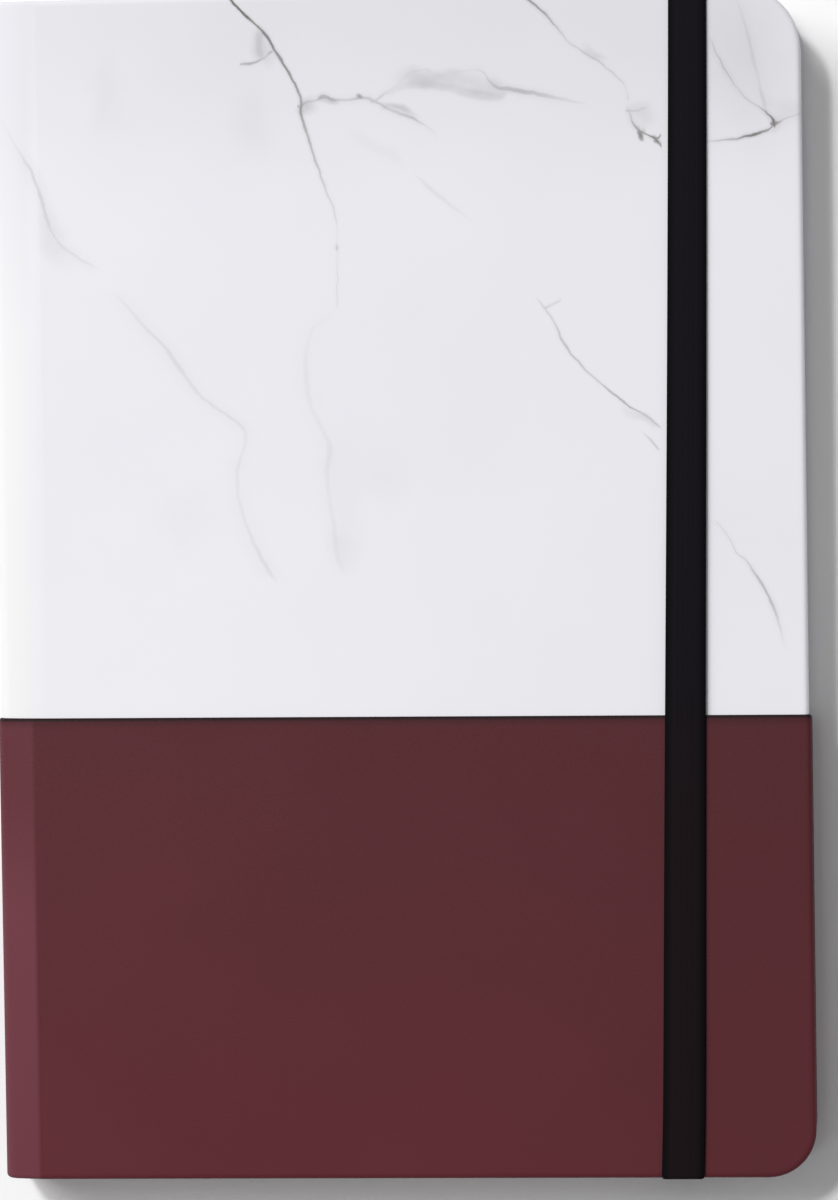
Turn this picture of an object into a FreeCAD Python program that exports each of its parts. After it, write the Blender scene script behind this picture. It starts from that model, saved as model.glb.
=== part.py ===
import FreeCAD, Part
import Sketcher
import os

# A hardcover diary, closed and held by its elastic band, lying on its back cover.
#
# Frame: +X from the spine to the fore-edge, +Y from the tail to the head, +Z from the back cover
# to the front cover. The origin is under the middle of the diary, on the surface that it lies on.
# All sizes are in millimetres. The driving dimensions are in the sheet "sizes"; the positions
# that several pieces share are worked out from them in "place".
#
# The case is three boards (front, spine, back) wrapped in two sheets of covering: a thin printed
# upper sheet and a thicker lower sheet whose edge laps over it. Both covers fold at a crease
# beside the spine. Each sheet is therefore one piece per rigid part of the case.

SIZES = {
    "cover_width": 145.0,  # spine face to fore-edge
    "cover_height": 210.0,  # tail edge to head edge
    "corner_radius": 8.6,  # fore-edge corners of the lower covering
    "head_corner": 11.4,  # fore-edge corners of the upper covering
    "lower_height": 82.2,  # tail edge to the edge of the lower covering
    "crease_inset": 6.6,  # spine face to the crease where a cover folds
    "crease_gap": 0.2,  # open line of the crease
    "shoulder_slope": 12.0,  # fall of the shoulder from the crease to the spine, in degrees
    "spine_radius": 3.0,  # round edge between a shoulder and the spine face
    "board": 1.8,  # front and back board
    "spine_board": 1.2,  # stiffener inside the spine face
    "upper_skin": 0.5,  # printed upper covering
    "lower_skin": 1.0,  # padded lower covering
    "turn_in": 14.0,  # width of the covering turned in over the boards
    "turn_in_skin": 0.5,  # its thickness, pared down
    "lap": 5.0,  # width of the upper covering under the lower one
    "edge_round": 0.4,  # soft edge of the covering round a board
    "paper": 0.2,  # endpaper
    "pastedown_inset": 4.0,  # cover edge to the edge of the glued endpaper
    "cover_gap": 0.1,  # closed cover to the first leaf
    "pages_thick": 9.6,
    "head_square": 2.8,  # cover beyond the pages at head and tail
    "fore_square": 3.5,  # cover beyond the pages at the fore-edge
    "page_corner": 7.0,
    "lining": 0.3,  # spine lining cloth
    "lining_clear": 1.0,  # lining to the turned-in covering
    "tape_clear": 0.5,  # lining to the headband tapes
    "hollow": 0.4,  # turned-in covering to the lining, down the spine
    "bead": 0.9,  # radius of the headband's bead
    "band_width": 7.3,
    "band_thick": 0.7,
    "band_clear": 0.05,  # band to the cover edges
    "band_inset": 22.3,  # fore-edge to the middle of the band
    "band_lean": 1.85,  # sideways lean of the band at head and tail
    "band_lean_low": 0.75,  # the same lean where the band reaches the back cover
    "slot_inset": 17.0,  # cover edge to the band's slots
    "slot_width": 1.1,
    "slot_clear": 0.3,  # slot end to the band's edge
    "tail_length": 20.0,  # band glued down inside the back cover
}

PLACES = {
    "spine_x": "-sizes.cover_width / 2",
    "fore_x": "sizes.cover_width / 2",
    "head_y": "sizes.cover_height / 2",
    "tail_y": "-sizes.cover_height / 2",
    "seam_y": "-sizes.cover_height / 2 + sizes.lower_height",
    "crease_x": "place.spine_x + sizes.crease_inset",
    "cover_x": "place.crease_x + sizes.crease_gap / 2",
    "shoulder_x": "place.crease_x - sizes.crease_gap / 2",
    "skin_step": "sizes.lower_skin - sizes.upper_skin",
    "board_fore": "place.fore_x - sizes.lower_skin",
    "board_tail": "place.tail_y + sizes.lower_skin",
    "board_head": "place.head_y - sizes.upper_skin",
    "board_tail_corner": "sizes.corner_radius - sizes.lower_skin",
    "board_head_corner": "sizes.head_corner - sizes.upper_skin",
    "back_face": "sizes.band_thick",
    "back_board_low": "place.back_face + sizes.lower_skin",
    "back_board_high": "place.back_board_low + sizes.board",
    "back_turn_in": "place.back_board_high + sizes.turn_in_skin",
    "back_inner": "place.back_turn_in + sizes.paper",
    "back_leaf": "place.back_inner + sizes.cover_gap",
    "pages_low": "place.back_leaf + sizes.paper",
    "pages_high": "place.pages_low + sizes.pages_thick",
    "front_leaf": "place.pages_high + sizes.paper",
    "front_inner": "place.front_leaf + sizes.cover_gap",
    "front_turn_in": "place.front_inner + sizes.paper",
    "front_board_low": "place.front_turn_in + sizes.turn_in_skin",
    "front_board_high": "place.front_board_low + sizes.board",
    "front_face": "place.front_board_high + sizes.lower_skin",
    "spine_inner": "place.spine_x + sizes.lower_skin + sizes.spine_board",
    "spine_turn_in": "place.spine_inner + sizes.turn_in_skin",
    "lining_x": "place.spine_turn_in + sizes.hollow",
    "page_spine": "place.lining_x + sizes.lining",
    "page_fore": "place.fore_x - sizes.fore_square",
    "page_head": "place.head_y - sizes.head_square",
    "window_fore": "place.board_fore - sizes.turn_in",
    "window_tail": "place.board_tail + sizes.turn_in",
    "window_head": "place.board_head - sizes.turn_in",
    "lining_end": "-place.window_tail - sizes.lining_clear",
    "band_x": "place.fore_x - sizes.band_inset",
    "band_half": "sizes.band_width / 2",
    "band_head": "place.head_y + sizes.band_clear",
    "slot_y": "place.head_y - sizes.slot_inset",
    "slot_half": "sizes.band_width / 2 + sizes.slot_clear",
    "tail_end": "place.slot_y - sizes.slot_width / 2 - sizes.tail_length",
}

FAR = "10"  # how far a cutting tool runs past what it cuts

doc = FreeCAD.newDocument("diary")
sheet = doc.addObject("Spreadsheet::Sheet", "sizes")
for row, (alias, size) in enumerate(SIZES.items(), start=1):
    sheet.set(f"A{row}", alias)
    sheet.set(f"B{row}", str(size))
    sheet.setAlias(f"B{row}", alias)
doc.recompute()

place = doc.addObject("App::VarSet", "place")
for name, formula in PLACES.items():
    place.addProperty("App::PropertyFloat", name)
    place.setExpression(name, formula)
    doc.recompute()


def new_body(name):
    body = doc.addObject("PartDesign::Body", name)
    body.Label = name
    return body


def origin_plane(body, role):
    return next(f for f in body.Origin.OriginFeatures if f.Role == role)


def polygon_sketch(body, name, role, offset, corners):
    """A closed polygon on an origin plane. Every corner coordinate is an expression."""
    sketch = body.newObject("Sketcher::SketchObject", name)
    sketch.AttachmentSupport = [(origin_plane(body, role), "")]
    sketch.MapMode = "FlatFace"
    sketch.setExpression("AttachmentOffset.Base.z", offset)
    points = [FreeCAD.Vector(sketch.evalExpression(u), sketch.evalExpression(v), 0) for u, v in corners]
    count = len(points)
    for i in range(count):
        sketch.addGeometry(Part.LineSegment(points[i], points[(i + 1) % count]), False)
    for i in range(count):
        sketch.addConstraint(Sketcher.Constraint("Coincident", i, 2, (i + 1) % count, 1))
    for i, (u, v) in enumerate(corners):
        across = sketch.addConstraint(Sketcher.Constraint("DistanceX", i, 1, points[i].x))
        sketch.setExpression(f"Constraints[{across}]", u)
        up = sketch.addConstraint(Sketcher.Constraint("DistanceY", i, 1, points[i].y))
        sketch.setExpression(f"Constraints[{up}]", v)
    return sketch


def pad(body, name, sketch, length):
    feature = body.newObject("PartDesign::Pad", name)
    feature.Profile = sketch
    feature.setExpression("Length", length)
    sketch.Visibility = False
    doc.recompute()
    return feature


def box_corners(x0, x1, y0, y1):
    return [(x0, y0), (x1, y0), (x1, y1), (x0, y1)]


def plate(body, name, x0, x1, y0, y1, z0, z1):
    """A pad of a rectangle in the XY plane, from level z0 to level z1."""
    sketch = polygon_sketch(body, f"{name}_outline", "XY_Plane", z0, box_corners(x0, x1, y0, y1))
    return pad(body, name, sketch, f"({z1}) - ({z0})")


def bar(body, name, corners, y0, y1):
    """A pad of an XZ section, from y1 back to y0: the section's normal is -Y."""
    sketch = polygon_sketch(body, f"{name}_section", "XZ_Plane", f"-({y1})", corners)
    return pad(body, name, sketch, f"({y1}) - ({y0})")


def fillet(body, name, base, chosen, radius):
    """Rounds those edges of a feature for which chosen(edge) is true."""
    edges = [f"Edge{i}" for i, edge in enumerate(base.Shape.Edges, start=1) if chosen(edge)]
    feature = body.newObject("PartDesign::Fillet", name)
    feature.Base = (base, edges)
    feature.setExpression("Radius", radius)
    doc.recompute()
    return feature


def upright(edge):
    """True for a straight edge along Z."""
    box = edge.BoundBox
    return box.XLength < 1e-6 and box.YLength < 1e-6


def lengthwise(edge):
    """True for a straight edge along Y."""
    box = edge.BoundBox
    return box.XLength < 1e-6 and box.ZLength < 1e-6


def upright_at(x, *ends):
    """Chooses the upright edges at x, and at one of the ends if any are given."""

    def chosen(edge):
        middle = edge.CenterOfMass
        at_end = not ends or any(abs(middle.y - end) < 1e-6 for end in ends)
        return upright(edge) and abs(middle.x - x) < 1e-6 and at_end

    return chosen


def edges_at_level(z, keep):
    """Chooses the edges that lie flat at level z, apart from those for which keep(middle) is true."""

    def chosen(edge):
        box = edge.BoundBox
        return box.ZLength < 1e-6 and abs(box.ZMin - z) < 1e-6 and not keep(edge.CenterOfMass)

    return chosen


def cut(name, base, *tools):
    """base less all the tools, as one Part::Cut after another. The last one has the name."""
    for i, tool in enumerate(tools):
        step = doc.addObject("Part::Cut", name if i == len(tools) - 1 else f"{name}_step{i}")
        step.Base = base
        step.Tool = tool
        base = step
    doc.recompute()
    base.Label = name
    return base


def fuse(name, *pieces):
    feature = doc.addObject("Part::MultiFuse", name)
    feature.Shapes = list(pieces)
    doc.recompute()
    feature.Label = name
    return feature


# Levels of each cover: board, covering and endpaper, from the inside out.
COVERS = {
    "front": {
        "board": ("place.front_board_low", "place.front_board_high"),
        "inside": "place.front_turn_in",
        "outside": "place.front_face",
        "paper": ("place.front_inner", "place.front_turn_in"),
        "hollow_paper": ("place.front_inner - " + FAR, "place.front_board_low - sizes.paper"),
        "window": ("place.front_inner", "place.front_board_low"),
        "outward": 1,
    },
    "back": {
        "board": ("place.back_board_low", "place.back_board_high"),
        "inside": "place.back_turn_in",
        "outside": "place.back_face",
        "paper": ("place.back_turn_in", "place.back_inner"),
        "hollow_paper": ("place.back_board_high + sizes.paper", "place.back_inner + " + FAR),
        "window": ("place.back_board_high", "place.back_inner"),
        "outward": -1,
    },
}


def make_board(name, side):
    """Greyboard, square at the crease and round at the two fore-edge corners."""
    body = new_body(name)
    outline = ("place.cover_x", "place.board_fore", "place.board_tail", "place.board_head")
    shape = plate(body, "blank", *outline, *COVERS[side]["board"])
    for end, y in (("tail", place.board_tail), ("head", place.board_head)):
        edge = upright_at(place.board_fore, y)
        shape = fillet(body, f"{end}_corner", shape, edge, f"place.board_{end}_corner")
    return body


# The two covering sheets: how far each lies under the lower one, the edge of the cover that it
# wraps, where it ends under or at the seam, and the radius of its corner.
COVERINGS = {
    "upper": (
        "place.skin_step",
        "place.head_y",
        "place.seam_y - sizes.lap",
        "sizes.head_corner",
    ),
    "lower": ("0", "place.tail_y", "place.seam_y", "sizes.corner_radius"),
}


def span(y0, y1):
    """The two expressions in rising order of their values."""
    return sorted((y0, y1), key=place.evalExpression)


def make_wrap(side, name):
    """The solid that one covering sheet and all inside it fill: rounded at its corner and outer edge."""
    levels = COVERS[side]
    step, outer_y, inner_y, corner = COVERINGS[name]
    outside = f"{levels['outside']} - ({levels['outward']}) * ({step})"
    fore = f"place.fore_x - ({step})"
    body = new_body(f"{name}_wrap_{side}")
    blank = plate(
        body, "blank", "place.cover_x", fore, *span(outer_y, inner_y), *span(levels["inside"], outside)
    )
    corner_edge = upright_at(place.evalExpression(fore), place.evalExpression(outer_y))
    rounded = fillet(body, "corner", blank, corner_edge, corner)
    crease_x, seam_y = place.cover_x, place.evalExpression(inner_y)
    outer_edges = edges_at_level(
        place.evalExpression(outside),
        lambda middle: abs(middle.x - crease_x) < 1e-6 or abs(middle.y - seam_y) < 1e-6,
    )
    fillet(body, "soft_edge", rounded, outer_edges, "sizes.edge_round")
    return body


WINDOW = ("place.window_fore", "place.window_tail", "place.window_head")


def make_window(side):
    """What the turned-in covering leaves open on the inside of a board."""
    body = new_body(f"window_{side}")
    plate(body, "opening", f"place.cover_x - {FAR}", *WINDOW, *COVERS[side]["window"])
    return body


def mirrored(sign, y0, y1):
    """The interval from y0 to y1 at the head (sign 1), or its mirror image at the tail (sign -1)."""
    return (y0, y1) if sign > 0 else (f"-({y1})", f"-({y0})")


ENDS = {"head": 1, "tail": -1}
SLOT_X = ("place.band_x - place.slot_half", "place.band_x + place.slot_half")


def make_slots():
    """Tools that cut the band's two slots through the back cover."""
    slots = []
    for end, sign in ENDS.items():
        body = new_body(f"slot_{end}")
        ys = mirrored(sign, "place.slot_y - sizes.slot_width / 2", "place.slot_y + sizes.slot_width / 2")
        plate(body, "slot", *SLOT_X, *ys, f"place.back_face - {FAR}", f"place.back_turn_in + {FAR}")
        slots.append(body)
    return slots


def make_tail_pockets():
    """Tools for the shallow pockets in the back board that take the band's glued tails."""
    pockets = []
    for end, sign in ENDS.items():
        body = new_body(f"tail_pocket_{end}")
        ys = mirrored(sign, "place.tail_end - sizes.slot_clear", "place.slot_y")
        bottom = "place.back_board_high - sizes.band_thick"
        plate(body, "pocket", *SLOT_X, *ys, bottom, f"place.back_board_high + {FAR}")
        pockets.append(body)
    return pockets


def make_coverings(side, board, holes):
    """The upper and lower sheets on one cover, wrapped round its board."""
    window = make_window(side)
    upper = cut(f"upper_covering_{side}", make_wrap(side, "upper"), board, window, *holes)
    lower = cut(f"lower_covering_{side}", make_wrap(side, "lower"), board, window, upper, *holes)
    return [upper, lower]


def make_pastedown(side):
    """The glued half of an endpaper: it lies on the turned-in covering and sinks to the board inside it."""
    levels = COVERS[side]
    fore = "place.fore_x - sizes.pastedown_inset"
    head, tail = "place.head_y - sizes.pastedown_inset", "place.tail_y + sizes.pastedown_inset"
    blank = new_body(f"{side}_paper_blank")
    rim = plate(blank, "rim", "place.cover_x", fore, tail, head, *levels["paper"])
    paper_edges = upright_at(place.evalExpression(fore))
    fillet(blank, "corners", rim, paper_edges, "sizes.corner_radius - sizes.pastedown_inset")
    plate(blank, "sunk", "place.cover_x", *WINDOW, *levels["window"])
    hollow = new_body(f"{side}_paper_hollow")
    plate(
        hollow,
        "hollow",
        f"place.cover_x - {FAR}",
        "place.window_fore - sizes.paper",
        "place.window_tail + sizes.paper",
        "place.window_head - sizes.paper",
        *levels["hollow_paper"],
    )
    return cut(f"{side}_pastedown", blank, hollow)


def make_spine_block(name, depth, tail, head):
    """The full section of the spine, depth under the outside of the lower covering, from tail to head."""
    body = new_body(name)
    fall = "sizes.crease_inset * tan(sizes.shoulder_slope * 1 deg)"
    spine = f"place.spine_x + ({depth})"
    low, high = f"place.back_face + ({depth})", f"place.front_face - ({depth})"
    corners = [
        ("place.shoulder_x", low),
        ("place.shoulder_x", high),
        (spine, f"{high} - {fall}"),
        (spine, f"{low} + {fall}"),
    ]
    block = bar(body, "block", corners, tail, head)
    spine_x = place.evalExpression(spine)

    def at_spine(edge):
        return lengthwise(edge) and abs(edge.CenterOfMass.x - spine_x) < 1e-6

    fillet(body, "round_edges", block, at_spine, f"sizes.spine_radius - ({depth})")
    return body


def make_spine_space(name, x0, y0, y1, z0, z1):
    """A tool that clears the inside of the spine from x0 out past the creases."""
    body = new_body(name)
    plate(body, "space", x0, f"place.shoulder_x + {FAR}", y0, y1, z0, z1)
    return body


def make_spine():
    """The stiffener of the spine and the two coverings on it, turned in at head and tail."""
    core = make_spine_block("spine_core", "sizes.lower_skin", "place.board_tail", "place.board_head")
    whole = (f"place.tail_y - {FAR}", f"place.head_y + {FAR}")
    board_space = make_spine_space(
        "board_space", "place.spine_inner", *whole, "place.back_board_high", "place.front_board_low"
    )
    board = cut("spine_board", core, board_space)
    between_turn_ins = make_spine_space(
        "space_between_turn_ins",
        "place.spine_inner",
        "place.window_tail",
        "place.window_head",
        "place.back_board_high",
        "place.front_board_low",
    )
    past_turn_ins = make_spine_space(
        "space_past_turn_ins", "place.spine_turn_in", *whole, "place.back_turn_in", "place.front_turn_in"
    )
    spaces = (board, between_turn_ins, past_turn_ins)
    sheets = {}
    for name, (step, outer_y, inner_y, corner) in COVERINGS.items():
        sheets[name] = make_spine_block(f"{name}_spine_block", step, *span(outer_y, inner_y))
    upper = cut("upper_covering_spine", sheets["upper"], *spaces)
    lower = cut("lower_covering_spine", sheets["lower"], *spaces, upper)
    return [board, upper, lower]


def make_pages():
    """All the leaves as one solid, with rounded fore-edge corners."""
    body = new_body("pages")
    outline = ("place.page_spine", "place.page_fore", "-place.page_head", "place.page_head")
    block = plate(body, "block", *outline, "place.pages_low", "place.pages_high")
    fillet(body, "corners", block, upright_at(place.page_fore), "sizes.page_corner")
    return body


def make_endpaper(side):
    """The free leaf, with the fold and strip that carry it on to the crease, as one folded sheet."""
    near, leaf, inner, outer = {
        "front": ("place.pages_high", "place.front_leaf", "place.front_inner", "place.front_turn_in"),
        "back": ("place.pages_low", "place.back_leaf", "place.back_inner", "place.back_turn_in"),
    }[side]
    fold = "place.page_spine + sizes.paper"
    corners = [
        ("place.page_spine", near),
        ("place.page_fore", near),
        ("place.page_fore", leaf),
        (fold, leaf),
        (fold, inner),
        ("place.shoulder_x", inner),
        ("place.shoulder_x", outer),
        ("place.page_spine", outer),
    ]
    body = new_body(f"{side}_endpaper")
    folded = bar(body, "folded", corners, "-place.page_head", "place.page_head")
    fillet(body, "corners", folded, upright_at(place.page_fore), "sizes.page_corner")
    return body


def make_spine_lining():
    """Lining cloth glued to the spine of the pages, with a wing glued down under each shoulder."""
    low, high = "place.back_turn_in", "place.front_turn_in"
    corners = [
        ("place.lining_x", f"{low} - sizes.lining"),
        ("place.shoulder_x", f"{low} - sizes.lining"),
        ("place.shoulder_x", low),
        ("place.page_spine", low),
        ("place.page_spine", high),
        ("place.shoulder_x", high),
        ("place.shoulder_x", f"{high} + sizes.lining"),
        ("place.lining_x", f"{high} + sizes.lining"),
    ]
    body = new_body("spine_lining")
    bar(body, "cloth", corners, "-place.lining_end", "place.lining_end")
    return body


def make_headband(name, sign):
    """A bead at one end of the spine, on a tape glued down the back of the pages."""
    tape = doc.addObject("Part::Box", f"{name}_tape")
    tape.setExpression("Length", "sizes.lining")
    tape.setExpression("Width", "place.page_head + sizes.bead - place.lining_end - sizes.tape_clear")
    tape.setExpression("Height", "sizes.pages_thick")
    tape.setExpression("Placement.Base.x", "place.lining_x")
    near = "place.lining_end + sizes.tape_clear" if sign > 0 else "-place.page_head - sizes.bead"
    tape.setExpression("Placement.Base.y", near)
    tape.setExpression("Placement.Base.z", "place.pages_low")
    bead = doc.addObject("Part::Cylinder", f"{name}_bead")
    bead.setExpression("Radius", "sizes.bead")
    bead.setExpression("Height", "sizes.pages_thick")
    bead.setExpression("Placement.Base.x", "place.lining_x + sizes.bead")
    bead.setExpression("Placement.Base.y", f"({sign}) * (place.page_head + sizes.bead)")
    bead.setExpression("Placement.Base.z", "place.pages_low")
    return fuse(name, tape, bead)


def leaning(low_x, high_x, low, high):
    """The corners of a run of the band whose middle moves from low_x at low to high_x at high."""
    return [
        (f"{low_x} - place.band_half", low),
        (f"{low_x} + place.band_half", low),
        (f"{high_x} + place.band_half", high),
        (f"{high_x} - place.band_half", high),
    ]


def leaning_flat(name, low_x, high_x, y0, y1, z0, z1):
    """A flat run of the band along Y, leaning from low_x at y0 to high_x at y1."""
    body = new_body(name)
    sketch = polygon_sketch(body, f"{name}_outline", "XY_Plane", z0, leaning(low_x, high_x, y0, y1))
    pad(body, f"{name}_run", sketch, f"({z1}) - ({z0})")
    return body


def make_band():
    """The elastic: across the front cover, down both ends, in at the slots and glued in the back cover."""
    thick = "sizes.band_thick"
    top = ("place.front_face", f"place.front_face + {thick}")
    outer = f"place.band_head + {thick}"
    across = ("(place.band_x - sizes.band_lean)", "(place.band_x + sizes.band_lean)")
    runs = [leaning_flat("band_front", *across, f"-({outer})", outer, *top)]
    board_high = "place.back_board_high"
    straight = ("place.band_x - place.band_half", "place.band_x + place.band_half")
    near, far = f"place.slot_y - {thick} / 2", f"place.slot_y + {thick} / 2"
    for end, sign in ENDS.items():
        x_top = f"(place.band_x + ({sign}) * sizes.band_lean)"
        x_edge = f"(place.band_x + ({sign}) * sizes.band_lean_low)"
        face = "place.back_face + place.skin_step" if sign > 0 else "place.back_face"
        back_low = f"{face} - {thick}"
        side = new_body(f"band_{end}_side")
        section = leaning(x_edge, x_top, back_low, top[1])
        bar(side, "side", section, *mirrored(sign, "place.band_head", outer))
        xs = ("place.band_x", x_edge) if sign > 0 else (x_edge, "place.band_x")
        back = leaning_flat(f"band_{end}_back", *xs, *mirrored(sign, near, outer), back_low, face)
        through = new_body(f"band_{end}_through")
        plate(through, "through", *straight, *mirrored(sign, near, far), back_low, board_high)
        glued = new_body(f"band_{end}_glued")
        ys = mirrored(sign, "place.tail_end", far)
        plate(glued, "glued", *straight, *ys, f"{board_high} - {thick}", board_high)
        runs += [side, back, through, glued]
    return fuse("elastic_band", *runs)


def make_diary():
    front_board = make_board("front_board", "front")
    back_board_blank = make_board("back_board_blank", "back")
    slots = make_slots()
    back_board = cut("back_board", back_board_blank, *slots, *make_tail_pockets())
    parts = [front_board, back_board]
    parts += make_coverings("front", front_board, [])
    parts += make_coverings("back", back_board_blank, slots)
    parts += [make_pastedown("front"), make_pastedown("back")]
    parts += make_spine()
    parts += [make_pages(), make_endpaper("front"), make_endpaper("back"), make_spine_lining()]
    parts += [make_headband("head_band", 1), make_headband("tail_band", -1)]
    parts += [make_band()]
    return parts


def check_and_export(parts):
    doc.recompute()
    failed = [o.Name for o in doc.Objects if {"Invalid", "Error"} & set(o.State)]
    if failed:
        raise RuntimeError(f"these features failed: {failed}")
    for part in parts:
        shape = part.Shape
        if shape.isNull() or not shape.isValid() or not shape.Solids:
            raise RuntimeError(f"{part.Label} has no valid solid")
    os.makedirs("parts", exist_ok=True)
    for part in parts:
        part.Shape.exportStep(f"parts/{part.Label}.step")
        print(part.Label, len(part.Shape.Solids), round(part.Shape.Volume, 1))


check_and_export(make_diary())
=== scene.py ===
import math
from functools import partialmethod

import bmesh
import bpy
from bpy.props import FloatProperty, FloatVectorProperty, PointerProperty
from mathutils import Matrix, Vector
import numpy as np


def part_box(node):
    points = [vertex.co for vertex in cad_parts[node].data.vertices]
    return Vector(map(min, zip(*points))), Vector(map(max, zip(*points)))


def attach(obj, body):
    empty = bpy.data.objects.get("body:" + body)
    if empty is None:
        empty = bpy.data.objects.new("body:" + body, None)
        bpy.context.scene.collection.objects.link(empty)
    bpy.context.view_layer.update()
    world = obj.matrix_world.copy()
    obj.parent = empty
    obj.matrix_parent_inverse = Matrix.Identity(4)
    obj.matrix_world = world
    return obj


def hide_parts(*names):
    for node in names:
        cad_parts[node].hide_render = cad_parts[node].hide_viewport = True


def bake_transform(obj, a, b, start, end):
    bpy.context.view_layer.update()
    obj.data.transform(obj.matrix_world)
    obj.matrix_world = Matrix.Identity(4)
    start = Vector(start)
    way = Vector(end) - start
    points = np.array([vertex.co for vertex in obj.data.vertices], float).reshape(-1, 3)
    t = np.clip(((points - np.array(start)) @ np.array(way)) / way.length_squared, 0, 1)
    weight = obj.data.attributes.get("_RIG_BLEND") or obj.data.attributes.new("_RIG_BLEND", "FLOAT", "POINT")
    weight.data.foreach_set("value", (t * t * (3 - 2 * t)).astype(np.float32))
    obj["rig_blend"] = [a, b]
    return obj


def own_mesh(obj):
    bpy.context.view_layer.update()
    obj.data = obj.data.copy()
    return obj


bl_info = {
    "name": "Banded hardcover diary",
    "version": (1, 0, 0),
    "blender": (4, 5, 0),
    "location": "View3D > Sidebar > Diary",
    "description": "Covers, endpapers, elastic band and finishes of a hardcover diary",
    "category": "Object",
}

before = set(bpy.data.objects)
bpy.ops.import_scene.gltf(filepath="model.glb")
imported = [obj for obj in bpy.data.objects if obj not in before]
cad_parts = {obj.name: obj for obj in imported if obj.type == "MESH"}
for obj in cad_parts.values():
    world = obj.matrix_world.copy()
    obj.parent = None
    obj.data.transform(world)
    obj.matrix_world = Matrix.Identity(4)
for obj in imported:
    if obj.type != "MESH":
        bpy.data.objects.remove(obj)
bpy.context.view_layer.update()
MM = 0.001
SEAM_LEAN = 0.005  # how far the seam runs down towards the fore-edge, per millimetre
BACK_DROP = 0.9  # how much lower the seam of the back cover ends at the fore-edge, in millimetres
NEAR = 1e-3  # how close two places are to count as one, in millimetres
UPRIGHT = 0.99  # how much of its unit normal an axis has where a face looks along that axis
BEND_STEPS = 12  # faces across the part of a pasted leaf that bends
SMOOTH_ANGLE = 35  # faces that meet at less than this many degrees are shaded as one round surface


def corners(node):
    """Lowest and highest corner of a CAD node, in millimetres."""
    low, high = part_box(node)
    return low / MM, high / MM


BURGUNDY_LOW, BURGUNDY_HIGH = corners("lower_covering_front")
MARBLE_HIGH = corners("upper_covering_front")[1]
BOARD_LOW, BOARD_HIGH = corners("front_board")
SPINE_LOW, SPINE_HIGH = corners("lower_covering_spine")
BAND_LOW, BAND_HIGH = corners("elastic_band")
PAGES_LOW = corners("pages")[0]
PASTE_LOW, PASTE_HIGH = corners("front_pastedown")
MIDDLE = (SPINE_LOW.z + SPINE_HIGH.z) / 2
BAND_MIDDLE = (BAND_LOW.x + BAND_HIGH.x) / 2
CREASE = (SPINE_HIGH.x + BURGUNDY_LOW.x) / 2


def seam_drop(x, back):
    """How far the seam lies below its middle at a place across the diary, a number or a signal."""
    across = (x - SPINE_LOW.x) / (BURGUNDY_HIGH.x - SPINE_LOW.x)
    return x * SEAM_LEAN + across * across * back * BACK_DROP


def written(*display):
    """A display colour from 0 to 255 as the linear values that Blender keeps."""
    shares = [value / 255 for value in display]
    return [v / 12.92 if v <= 0.04045 else ((v + 0.055) / 1.055) ** 2.4 for v in shares]


def dimmed(shade, share):
    """A colour made darker, or lighter where share is above 1."""
    return [part * share for part in shade]


def size(name, description, millimetres):
    """A length that the panel shows."""
    length = {"default": millimetres * MM, "min": 0, "unit": "LENGTH", "precision": 5}
    return FloatProperty(name=name, description=description, **length)


def colour(name, description, *display):
    """A colour that the panel shows."""
    shade = {"default": written(*display), "min": 0, "max": 1, "size": 3, "subtype": "COLOR"}
    return FloatVectorProperty(name=name, description=description, **shade)


class DiarySizes(bpy.types.PropertyGroup):
    """Lengths that shape the soft parts of the diary."""

    sheet: size("Covering sheet", "Thickness of a covering sheet", 0.5)
    rim: size("Rim", "Radius of the covering round the edge of a board", 0.8)
    spine_round: size("Spine round", "Radius between a shoulder and the spine face", 3.0)
    shoulder_fall: size("Shoulder fall", "How far a shoulder drops from the crease to the spine", 1.4)
    turn_in: size("Turn-in", "Width of the covering turned in over a board", 14.0)
    tail_corner: size("Tail corner", "Radius of the fore-edge corners of the burgundy sheet", 8.6)
    head_corner: size("Head corner", "Radius of the fore-edge corners of the marble sheet", 11.4)
    spine_clear: size("Spine gap", "From the covering inside the spine to the leaves", 0.7)
    bend: size("Crease bend", "Half the width of covering that bends at a crease", 0.7)
    burgundy_fold: size("Burgundy fold", "Reach of the burgundy sheet's rounding at a crease", 0.5)
    marble_fold: size("Marble fold", "Reach of the marble sheet's rounding at a crease", 2.4)
    seam_round: size("Seam round", "Radius of the edge of the burgundy sheet at the seam", 0.55)
    seam_clear: size("Seam gap", "From the seam to where the marble sheet is cut inside a cover", 0.05)
    band_head: size("Band width at head", "Width of the elastic at the head edge", 6.65)
    band_tail: size("Band width at tail", "Width of the elastic at the tail edge", 7.55)
    band_thick: size("Band thickness", "Thickness of the elastic", 0.7)
    band_lean: size("Band lean", "Sideways lean of the band at head and tail", 1.85)
    band_lean_low: size("Band lean, back", "The same lean where it reaches the back cover", 0.75)
    band_turn: size("Band turn", "Radius of the band over the edge of a cover", 1.0)
    slot_turn: size("Slot turn", "Radius of the band where it turns into a slot", 0.55)
    slot: size("Slot", "Width of the band's slots in the back cover", 1.1)
    slot_end: size("Slot end", "Gap between the band's edge and the end of its slot", 0.3)
    slot_place: size("Slot place", "Distance of a slot from the edge of the cover", 17.0)
    glued: size("Glued tail", "Length of the band glued down inside the back cover", 20.0)
    paper: size("Paper", "Thickness of an endpaper", 0.2)
    rib: size("Band rib", "Spacing of the ribs along the elastic", 0.9)
    weft: size("Band weft", "Spacing of the threads across the elastic", 0.42)


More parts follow.
